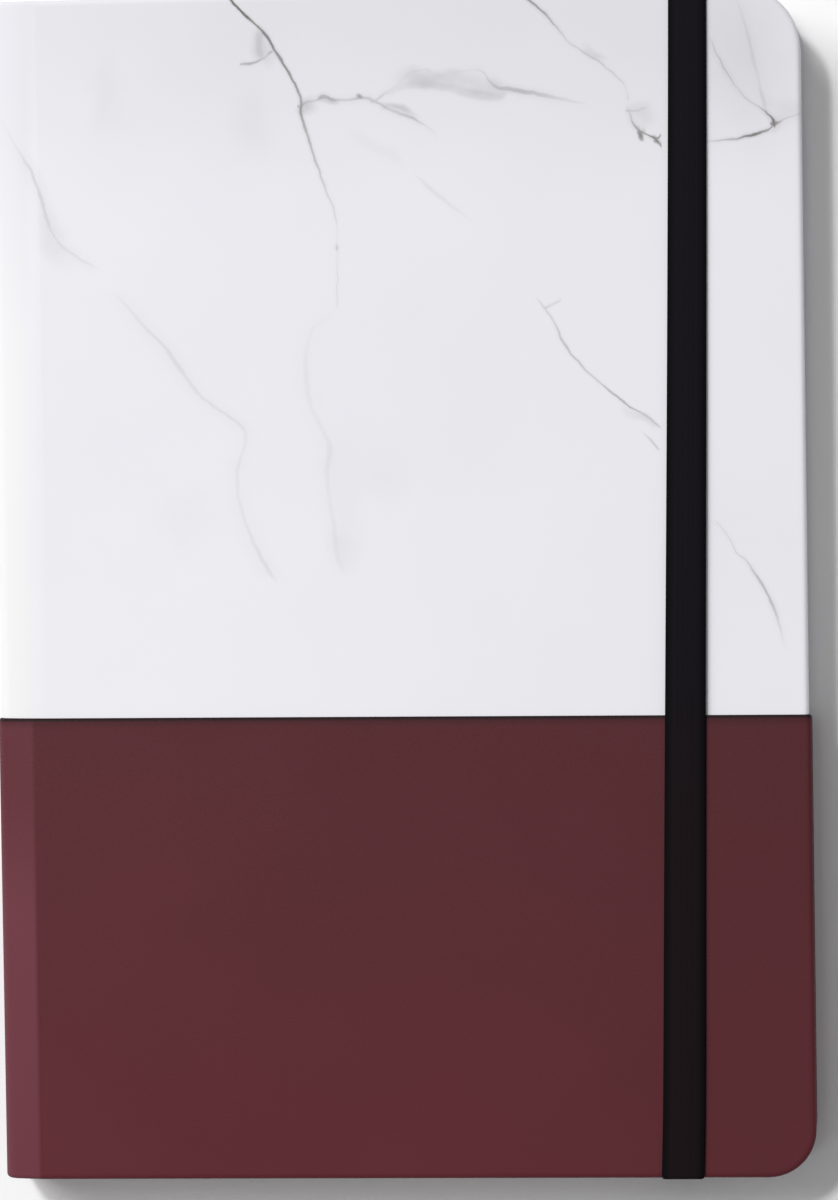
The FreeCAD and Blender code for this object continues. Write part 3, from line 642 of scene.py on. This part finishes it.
class HalfCase:
    """Half of a covering sheet, as the front one: from the middle of the spine over its round and
    shoulder, across the crease and the cover, round its edges and in over the board."""

    CREASE_CUTS = (-1, -0.64, -0.4, -0.2, 0, 0.2, 0.4, 0.64, 1)  # shares of the bend at the crease
    SEAM_CUTS = (1, 0.6, 0.3, 0.1)  # shares of the seam's rounding
    SLANT_CUTS = (-40, -15, 10, 32, 50)  # places across the cover between which the seam runs straight

    def __init__(self, kind, node, sizes, back):
        self.kind, self.sizes, self.back = kind, sizes, back
        low, high = corners(f"{node}_front")
        self.fore, self.face, self.spine = high.x, high.z, corners(f"{node}_spine")[0].x
        if kind == "burgundy":
            self.seam, self.end, self.board_end = high.y, low.y, BOARD_LOW.y
            self.corner, self.fold = sizes.tail_corner / MM, sizes.burgundy_fold / MM
        else:
            self.seam, self.end, self.board_end = low.y, high.y, BOARD_HIGH.y
            self.corner, self.fold = sizes.head_corner / MM, sizes.marble_fold / MM
        self.towards = 1 if self.end > self.seam else -1
        self.shoulder = self.face - sizes.shoulder_fall / MM
        self.inner, self.spine_inner = BURGUNDY_LOW.z, PAGES_LOW.x - sizes.spine_clear / MM
        self.bm = bmesh.new()
        self.grow()
        self.round_off()
        self.open_inside()
        self.cut_bend()
        if kind == "burgundy":
            self.soften_seam()
            self.slant_seam()

    def grow(self):
        """A closed block with the section of half the case."""
        outside = [(self.spine, MIDDLE), (self.spine, self.shoulder), (CREASE, self.face)]
        edge = [(self.fore, self.face), (self.fore, self.inner)]
        inside = [(self.spine_inner, self.inner), (self.spine_inner, MIDDLE)]
        bm = self.bm
        bm.faces.new([bm.verts.new((x, self.seam, z)) for x, z in outside + edge + inside])
        push_out(bm, list(bm.faces), (0, self.end - self.seam, 0))
        bmesh.ops.recalc_face_normals(bm, faces=list(bm.faces))

    def edges_at(self, first_axis, first, second_axis, second):
        """The edges that lie at one place on each of two axes."""
        edges = [e for e in self.bm.edges if all_at(e, first_axis, first)]
        return [e for e in edges if all_at(e, second_axis, second)]

    def round_off(self):
        """Rounds the corner, the spine, the crease and the rims, and opens the two ends."""
        bm, sizes = self.bm, self.sizes
        bevel(bm, self.edges_at(0, self.fore, 1, self.end), self.corner, segments=12)
        turning = math.pi / 2 - math.atan2(self.face - self.shoulder, CREASE - self.spine)
        outer_step = BURGUNDY_HIGH.x - self.fore
        run = (sizes.spine_round / MM - outer_step) * math.tan(turning / 2)
        bevel(bm, self.edges_at(0, self.spine, 2, self.shoulder), run, segments=6)
        bevel(bm, self.edges_at(0, CREASE, 2, self.face), self.fold, segments=6)
        open_ends = [f for f in bm.faces if all_at(f, 1, self.seam) or all_at(f, 2, MIDDLE)]
        bmesh.ops.delete(bm, geom=open_ends, context="FACES")

        def stands(wall):
            """Whether a face is part of the wall round the cover's edges."""
            outwards = wall.normal.y * self.towards > 1 - UPRIGHT
            at_fore = wall.normal.x > UPRIGHT and wall.calc_center_median().x > 0
            return abs(wall.normal.z) < 1 - UPRIGHT and (outwards or at_fore)

        rims = [e for e in bm.edges if len(e.link_faces) == 2 and sum(map(stands, e.link_faces)) == 1]
        bevel(bm, rims, sizes.rim / MM, segments=4)

    def inside(self):
        """The faces that lie on the board's inner side."""
        return [f for f in self.bm.faces if all_at(f, 2, self.inner) or all_at(f, 0, self.spine_inner)]

    def open_inside(self):
        """Leaves only the turned-in edge on the inner side, the marble's only up to the burgundy's."""
        turn_in = self.sizes.turn_in / MM
        window_fore, window_end = BOARD_HIGH.x - turn_in, self.board_end - self.towards * turn_in
        meeting = BURGUNDY_HIGH.y - seam_drop(BURGUNDY_HIGH.x, self.back) - self.sizes.seam_clear / MM
        for axis, place in ((1, window_end), (0, window_fore), (1, meeting)):
            slice_at(self.bm, axis, place, self.inside())

        def hidden(part):
            x, y, _ = part.calc_center_median()
            under = self.kind == "marble" and y < meeting
            return under or (x < window_fore and (y - window_end) * self.towards < 0)

        bmesh.ops.delete(self.bm, geom=[f for f in self.inside() if hidden(f)], context="FACES")

    def cut_bend(self):
        """Cuts the sheet finely where it bends, and holds the flat cover flat by a strip round it."""
        flat = [f for f in self.bm.faces if all_at(f, 2, self.face)]
        strip = {"thickness": 0.45, "use_even_offset": True, "use_boundary": False}
        bmesh.ops.inset_region(self.bm, faces=flat, **strip)
        for share in self.CREASE_CUTS:
            slice_at(self.bm, 0, CREASE + share * (self.sizes.bend / MM))

    def soften_seam(self):
        """Rounds the cut edge of the burgundy sheet down at the seam."""
        for place in self.SLANT_CUTS:
            slice_at(self.bm, 0, place)
        radius = self.sizes.seam_round / MM
        for share in self.SEAM_CUTS:
            slice_at(self.bm, 1, self.seam + self.towards * radius * share)
        self.bm.normal_update()
        for vert in self.bm.verts:
            off = abs(vert.co.y - self.seam)
            if off < radius - NEAR:
                vert.co -= vert.normal * (radius - math.sqrt(radius**2 - (radius - off) ** 2))

    def slant_seam(self):
        """Leans the seam down towards the fore-edge, and the sheet with it less and less."""
        for vert in self.bm.verts:
            share = (vert.co.y - self.end) / (self.seam - self.end)
            vert.co.y -= seam_drop(vert.co.x, self.back) * share


def flip_to_back(bm):
    """The mirror image of a front piece, as the back one."""
    bmesh.ops.scale(bm, vec=(1, 1, -1), verts=list(bm.verts), space=Matrix.Translation((0, 0, -MIDDLE)))
    bmesh.ops.reverse_faces(bm, faces=list(bm.faces))


def cut_slot(bm, sizes, towards):
    """Opens the slot that the band goes through in the face of the back cover."""
    half_band = (BAND_HIGH.x - BAND_LOW.x) / 2 - sizes.band_lean / MM
    reach, half = half_band + sizes.slot_end / MM, sizes.slot / MM / 2
    place = towards * (-BURGUNDY_LOW.y - sizes.slot_place / MM)
    low = min(v.co.z for v in bm.verts)

    def face_here():
        return [f for f in bm.faces if all_at(f, 2, low) and abs(f.normal.z) > UPRIGHT]

    sides = ((0, BAND_MIDDLE - reach), (0, BAND_MIDDLE + reach), (1, place - half), (1, place + half))
    for axis, at in sides:
        slice_at(bm, axis, at, face_here())

    def in_slot(face):
        middle = face.calc_center_median()
        return abs(middle.x - BAND_MIDDLE) < reach and abs(middle.y - place) < half

    bmesh.ops.delete(bm, geom=[f for f in face_here() if in_slot(f)], context="FACES")


class Strap:
    """A strap that grows along its path by its end face."""

    EDGE_ROUND = 0.4  # radius of its long edges, as a share of its thickness

    def __init__(self, middle, width, thick, start):
        self.bm = bmesh.new()
        y, z = start
        signs = ((-1, -1), (1, -1), (1, 1), (-1, 1))
        outline = [(middle + side * width / 2, y, z + up * thick / 2) for side, up in signs]
        face = self.bm.faces.new([self.bm.verts.new(place) for place in outline])
        bevel(self.bm, list(face.verts), thick * self.EDGE_ROUND, segments=3, affect="VERTICES")
        self.end = list(self.bm.faces)[0]
        self.along = self.bm.verts.layers.float.new("along")
        self.travelled = 0.0

    def note(self, grown, distance):
        """Keeps how far along the strap its new points lie, and which face is now its end."""
        self.travelled += distance
        for item in grown:
            if isinstance(item, bmesh.types.BMVert):
                item[self.along] = self.travelled
        self.end = next(item for item in grown if isinstance(item, bmesh.types.BMFace))

    def straight(self, move, pieces=1):
        """Grows on by a move along y and z."""
        step = Vector((0, *move)) / pieces
        for _ in range(pieces):
            self.note(push_out(self.bm, [self.end], step), step.length)

    def turn(self, centre, radius, degrees, steps=6):
        """Grows on round a centre, by that angle."""
        angle = math.radians(degrees) / steps
        for _ in range(steps):
            geom, about = [self.end, *self.end.edges, *self.end.verts], (0, *centre)
            spun = bmesh.ops.spin(self.bm, geom=geom, cent=about, axis=(1, 0, 0), angle=angle, steps=1)
            self.note(spun["geom_last"], radius * abs(angle))


def grow_band(sizes):
    """The path of the elastic: out of the tail slot, round the front, and in at the head slot.
    Gives its mesh and where its slots, its outermost runs and its front lie."""
    thick = sizes.band_thick / MM
    edge, front = BAND_HIGH.y - thick / 2, BAND_HIGH.z - thick / 2
    step = BURGUNDY_HIGH.z - MARBLE_HIGH.z
    turn, small = sizes.band_turn / MM, sizes.slot_turn / MM
    tail_back, head_back = thick / 2, thick / 2 + step
    glue = corners("back_board")[1].z - thick / 2
    slot = -BURGUNDY_LOW.y - sizes.slot_place / MM
    rim, foot = edge - turn, slot + small  # where it starts to turn, from the diary's middle
    start = slot - sizes.slot / MM / 2 - sizes.glued / MM
    width = (sizes.band_head + sizes.band_tail) / 2 / MM
    strap = Strap(BAND_MIDDLE, width, thick, (-start, glue))
    strap.straight((start - slot + small, 0))
    strap.turn((-slot + small, glue - small), small, 90)
    strap.straight((0, tail_back + small - (glue - small)))
    strap.turn((-foot, tail_back + small), small, -90)
    strap.straight((foot - rim, 0), 3)
    strap.turn((-rim, tail_back + turn), turn, -90)
    strap.straight((0, front - turn - (tail_back + turn)), 4)
    strap.turn((-rim, front - turn), turn, -90)
    strap.straight((BURGUNDY_HIGH.y + rim, 0), 8)
    strap.straight((rim - BURGUNDY_HIGH.y, -step), 12)
    strap.turn((rim, front - step - turn), turn, -90)
    strap.straight((0, head_back + turn - (front - step - turn)), 4)
    strap.turn((rim, head_back + turn), turn, -90)
    strap.straight((foot - rim, 0), 3)
    strap.turn((foot, head_back + small), small, -90)
    strap.straight((0, glue - small - (head_back + small)))
    strap.turn((slot - small, glue - small), small, 90)
    strap.straight((start - slot + small, 0))
    return strap.bm, slot, edge, front


def clamped(value, low=0.0):
    """The value, kept between low and 1."""
    return max(low, min(1.0, value))


def front_shift(side):
    """How far the band's middle lies towards the fore-edge on the front, from tail (-1) to head (1)."""
    offset, lean, curve, tail_curl = 0.56, 1.8, 0.2, 0.3
    return offset + lean * side - curve * side**3 - tail_curl * max(-side, 0) ** 12


def lean_band(bm, sizes, slot, edge, front):
    """Notes the weave's own coordinates, then leans the band, widens it to the tail and presses it flat
    on the edges of the covers."""
    turn_reach = 1.5  # how near head and tail it leans as on the front
    pinch, pinch_reach = 0.1, 0.6  # how much it narrows over an edge, and how near one
    clear, press, sink = 0.05, 0.7, 0.03  # from where it is pressed to an edge, and how far
    cover_edge, lean_low = -BURGUNDY_LOW.y, sizes.band_lean_low / MM
    along = bm.verts.layers.float["along"]
    weave = bm.verts.layers.float_vector.new("weave")
    mean_width = (sizes.band_head + sizes.band_tail) / 2
    for vert in bm.verts:
        x, y, z = vert.co
        vert[weave] = (x - BAND_MIDDLE, vert[along], z)
        side, up = clamped(y / edge, -1.0), clamped(z / front)
        if z > front / 2 or abs(y) > edge - turn_reach:
            shift = side * lean_low + (front_shift(side) - side * lean_low) * up
        else:
            shift = math.copysign(lean_low * max(0.0, (abs(y) - slot) / (edge - slot)), y)
        width = (sizes.band_tail + (sizes.band_head - sizes.band_tail) * (side + 1) / 2) / mean_width
        narrowing = 1 - pinch * clamped(abs(y) - cover_edge + pinch_reach) ** 2
        vert.co.x = BAND_MIDDLE + shift + (x - BAND_MIDDLE) * width * narrowing
        past = abs(y) - cover_edge - clear
        if past > 0:
            vert.co.y = math.copysign(abs(y) - past * press - sink, y)


def pasted_sheet(sizes):
    """The glued half of the front endpaper: flat on the turn-in, sunk to the board inside it, and over
    the crease."""
    start, fore, high = SPINE_HIGH.x, PASTE_HIGH.x, PASTE_HIGH.y
    outline = [(start, -high), (start, high), (fore, high), (fore, -high)]
    bm = bmesh.new()
    face = bm.faces.new([bm.verts.new((x, y, PASTE_LOW.z)) for x, y in outline])
    fore_corners = [v for v in face.verts if v.co.x > 0]
    radius = sizes.tail_corner / MM - (BURGUNDY_HIGH.x - fore)
    bevel(bm, fore_corners, radius, segments=8, affect="VERTICES")
    turn_in = sizes.turn_in / MM
    soft, sharp = 0.5, 0.1  # the leaf's slope beside the edge of the turn-in
    fore_line = BOARD_HIGH.x - turn_in
    tail_line, head_line = BOARD_LOW.y + turn_in, BOARD_HIGH.y - turn_in
    slope_start, slope_end = BOARD_LOW.x + 0.7, BOARD_LOW.x + 2.2  # where it slopes, by the crease
    for place in (fore_line - soft, fore_line + sharp, slope_start, slope_end):
        slice_at(bm, 0, place)
    for place in (tail_line - sharp, tail_line + soft, head_line - soft, head_line + sharp):
        slice_at(bm, 1, place)
    for vert in bm.verts:
        inside = (slope_start + slope_end) / 2 < vert.co.x < fore_line - soft / 2
        if inside and tail_line + soft / 2 < vert.co.y < head_line - soft / 2:
            vert.co.z += PASTE_HIGH.z - PASTE_LOW.z - sizes.paper / MM
    for step in range(1, BEND_STEPS + 1):
        slice_at(bm, 0, start + step / BEND_STEPS * sizes.bend / MM)
    bmesh.ops.recalc_face_normals(bm, faces=list(bm.faces))
    if next(iter(bm.faces)).normal.z > 0:
        bmesh.ops.reverse_faces(bm, faces=list(bm.faces))
    return bm


class DIARY_OT_coverings(bpy.types.Operator):
    """Makes the marble and burgundy sheets that wrap the covers and the spine"""

    bl_idname = "diary.coverings"
    bl_label = "Coverings"

    def execute(self, context):
        sizes, colours = context.scene.diary_sizes, context.scene.diary_colours
        finishes = (
            ("marble", "upper_covering", marble_covering(colours)),
            ("burgundy", "lower_covering", burgundy_covering(colours)),
        )
        start, end = CREASE * MM - sizes.bend, CREASE * MM + sizes.bend
        for kind, node, material in finishes:
            for side in ("front", "back"):
                bm = HalfCase(kind, node, sizes, side == "back").bm
                if side == "back":
                    flip_to_back(bm)
                    cut_slot(bm, sizes, 1 if kind == "marble" else -1)
                piece = make_piece(bm, f"{kind}_{side}", material, sizes.sheet / MM)
                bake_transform(piece, "block", f"{side}_cover", start=(start, 0, 0), end=(end, 0, 0))
                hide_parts(f"{node}_{side}")
                if side == "front":
                    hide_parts(f"{node}_spine")
        return {"FINISHED"}


class DIARY_OT_endpapers(bpy.types.Operator):
    """Makes the glued halves of the endpapers, which bend at the creases"""

    bl_idname = "diary.endpapers"
    bl_label = "Endpapers"

    def execute(self, context):
        sizes, colours = context.scene.diary_sizes, context.scene.diary_colours
        material = fibrous("Pasted endpaper", colours.paper, bends=True)
        start, end = SPINE_HIGH.x * MM, SPINE_HIGH.x * MM + sizes.bend
        for side in ("front", "back"):
            bm = pasted_sheet(sizes)
            if side == "back":
                flip_to_back(bm)
            piece = make_piece(bm, f"pasted_leaf_{side}", material, sizes.paper / MM)
            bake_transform(piece, "block", f"{side}_cover", start=(start, 0, 0), end=(end, 0, 0))
            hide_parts(f"{side}_pastedown")
        return {"FINISHED"}


class DIARY_OT_band(bpy.types.Operator):
    """Makes the elastic band that holds the diary closed"""

    bl_idname = "diary.band"
    bl_label = "Elastic band"

    def execute(self, context):
        sizes, colours = context.scene.diary_sizes, context.scene.diary_colours
        bm, slot, edge, front = grow_band(sizes)
        bmesh.ops.recalc_face_normals(bm, faces=list(bm.faces))
        lean_band(bm, sizes, slot, edge, front)
        material = elastic_weave(colours, sizes.rib / MM, sizes.weft / MM)
        piece = make_piece(bm, "elastic_strap", material)
        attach(piece, "back_cover")
        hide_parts("elastic_band")
        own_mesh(piece)
        return {"FINISHED"}


class DIARY_OT_inner_finishes(bpy.types.Operator):
    """Gives the leaves, boards, lining and headbands their finishes"""

    bl_idname = "diary.inner_finishes"
    bl_label = "Inner finishes"

    def execute(self, context):
        colours = context.scene.diary_colours
        paper = fibrous("Free endpaper", colours.paper)
        board = fibrous("Grey board", colours.board, dark=0.8, fibre=0.8, relief=0.03, roughness=0.9)
        finishes = (
            (leaf_edges(colours), ("pages",)),
            (board, ("front_board", "back_board", "spine_board")),
            (paper, ("front_endpaper", "back_endpaper")),
            (headband_thread(colours), ("head_band", "tail_band")),
            (lining_cloth(colours), ("spine_lining",)),
        )
        for material, nodes in finishes:
            for node in nodes:
                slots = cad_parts[node].data.materials
                slots.clear()
                slots.append(material)
        return {"FINISHED"}


LAMP_DISTANCE = 4.0  # metres
TABLE_REACH = 3.0  # metres from its middle to its edges
CAMERA_PLACE = (0.080, 0.02743, 0.900)  # metres
CAMERA_TURN = (-1.99, 4.923, -0.868)  # degrees
CAMERA_LENS, CAMERA_SENSOR = 150.3, 36.0  # millimetres


def area_lamp(name, height, around, across, power):
    """A square soft lamp turned to the diary: height and bearing in degrees, width in metres."""
    up, turn = math.radians(height), math.radians(around)
    level = math.cos(up)
    place = Vector((level * math.cos(turn), level * math.sin(turn), math.sin(up))) * LAMP_DISTANCE
    lamp = bpy.data.lights.new(name, "AREA")
    lamp.shape, lamp.size, lamp.energy = "SQUARE", across, power
    holder = add_object(name, lamp)
    holder.location = place
    holder.rotation_euler = (-place).to_track_quat("-Z", "Y").to_euler()


class DIARY_OT_stage(bpy.types.Operator):
    """Sets the white table, the lamps and the camera"""

    bl_idname = "diary.stage"
    bl_label = "Stage"

    def execute(self, context):
        scene = context.scene
        self.lay_table(scene)
        self.light(scene)
        self.place_camera(scene)
        scene.view_settings.view_transform = "Standard"
        return {"FINISHED"}

    def place_camera(self, scene):
        """A long lens straight above the diary, turned a little."""
        camera = bpy.data.cameras.new("Camera")
        camera.lens, camera.sensor_width, camera.sensor_fit = CAMERA_LENS, CAMERA_SENSOR, "AUTO"
        camera.clip_start, camera.clip_end = 0.05, 20.0
        holder = add_object("Camera", camera)
        holder.location = CAMERA_PLACE
        holder.rotation_euler = [math.radians(angle) for angle in CAMERA_TURN]
        scene.camera = holder

    def lay_table(self, scene):
        """The white table that the diary lies on."""
        material, shader, _ = new_material("White table", roughness=0.9, specular=0.0)
        shader.inputs["Base Color"].default_value = (*scene.diary_colours.floor, 1)
        bm = bmesh.new()
        bmesh.ops.create_grid(bm, x_segments=1, y_segments=1, size=TABLE_REACH)
        add_mesh(bm, "table", material)

    def light(self, scene):
        """Even light from all round, with soft lamps beyond the head at the spine side."""
        world = bpy.data.worlds.new("Studio")
        world.use_nodes = True
        scene.world = world
        backdrop = world.node_tree.nodes["Background"]
        backdrop.inputs["Color"].default_value = (0.965, 0.972, 1, 1)
        backdrop.inputs["Strength"].default_value = 0.27
        area_lamp("Wide lamp", height=50, around=137, across=2.0, power=84.6)
        area_lamp("Small lamp", height=63.2, around=126, across=0.32, power=49.6)
        area_lamp("Low lamp", height=35, around=200, across=1.0, power=8.0)


STEPS = (DIARY_OT_stage, DIARY_OT_coverings, DIARY_OT_endpapers, DIARY_OT_band, DIARY_OT_inner_finishes)


class DIARY_PT_panel(bpy.types.Panel):
    """Sizes, colours and the steps that build the diary"""

    bl_label = "Diary"
    bl_idname = "DIARY_PT_panel"
    bl_space_type = "VIEW_3D"
    bl_region_type = "UI"
    bl_category = "Diary"

    def draw(self, context):
        scene = context.scene
        for title, group in (("Sizes", scene.diary_sizes), ("Colours", scene.diary_colours)):
            box = self.layout.box()
            box.label(text=title)
            for name in group.__annotations__:
                box.prop(group, name)
        for step in STEPS:
            self.layout.operator(step.bl_idname)


CLASSES = (DiarySizes, DiaryColours, *STEPS, DIARY_PT_panel)


def register():
    for cls in CLASSES:
        bpy.utils.register_class(cls)
    bpy.types.Scene.diary_sizes = PointerProperty(type=DiarySizes)
    bpy.types.Scene.diary_colours = PointerProperty(type=DiaryColours)


def unregister():
    del bpy.types.Scene.diary_colours
    del bpy.types.Scene.diary_sizes
    for cls in reversed(CLASSES):
        bpy.utils.unregister_class(cls)


def main():
    register()
    bpy.ops.diary.stage()
    bpy.ops.diary.coverings()
    bpy.ops.diary.endpapers()
    bpy.ops.diary.band()
    bpy.ops.diary.inner_finishes()
    bpy.context.view_layer.update()


if __name__ == "__main__":
    main()
